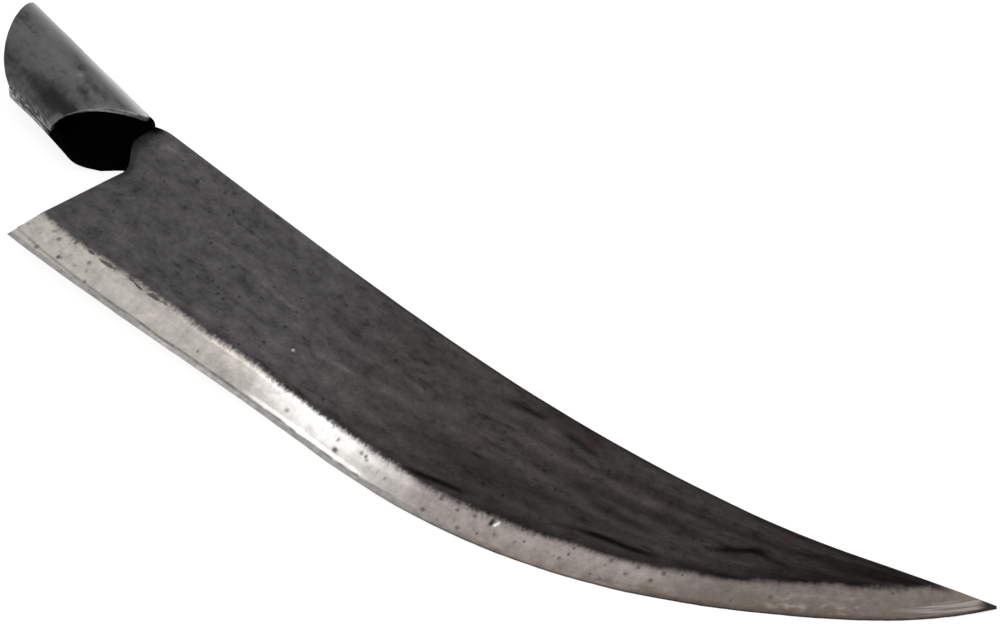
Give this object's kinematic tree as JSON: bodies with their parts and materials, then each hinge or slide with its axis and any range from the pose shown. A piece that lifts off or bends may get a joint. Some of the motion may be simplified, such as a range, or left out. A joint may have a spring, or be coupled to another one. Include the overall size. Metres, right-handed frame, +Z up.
{
  "type": "socketed sickle head",
  "caption": "Forged chopping sickle head: broad upswept blade ground on one face, hard edge steel along its convex side, and a rolled open socket for a wooden handle.",
  "frame": {"origin": "on the surface that the head lies on, under the middle of its bounding box", "axes": "+X from the handle's mouth towards the blade's point, along the socket in plan; +Y from the cutting edge towards the spine; +Z up, with the ground face of the blade up and the head lying on the flat under its socket and the belly of its edge"},
  "size_m": [0.4162, 0.1706, 0.0342],
  "materials": {
    "blade_body": "black forge scale with long hammer streaks, bare on the ground bevel",
    "edge_steel": "ground, pitted, dull",
    "socket": "rolled plate, smooth dark scale"
  },
  "bodies": {
    "root": {"blade_body": "blade_body", "edge_steel": "edge_steel", "socket": "socket"}
  },
  "joints": []
}
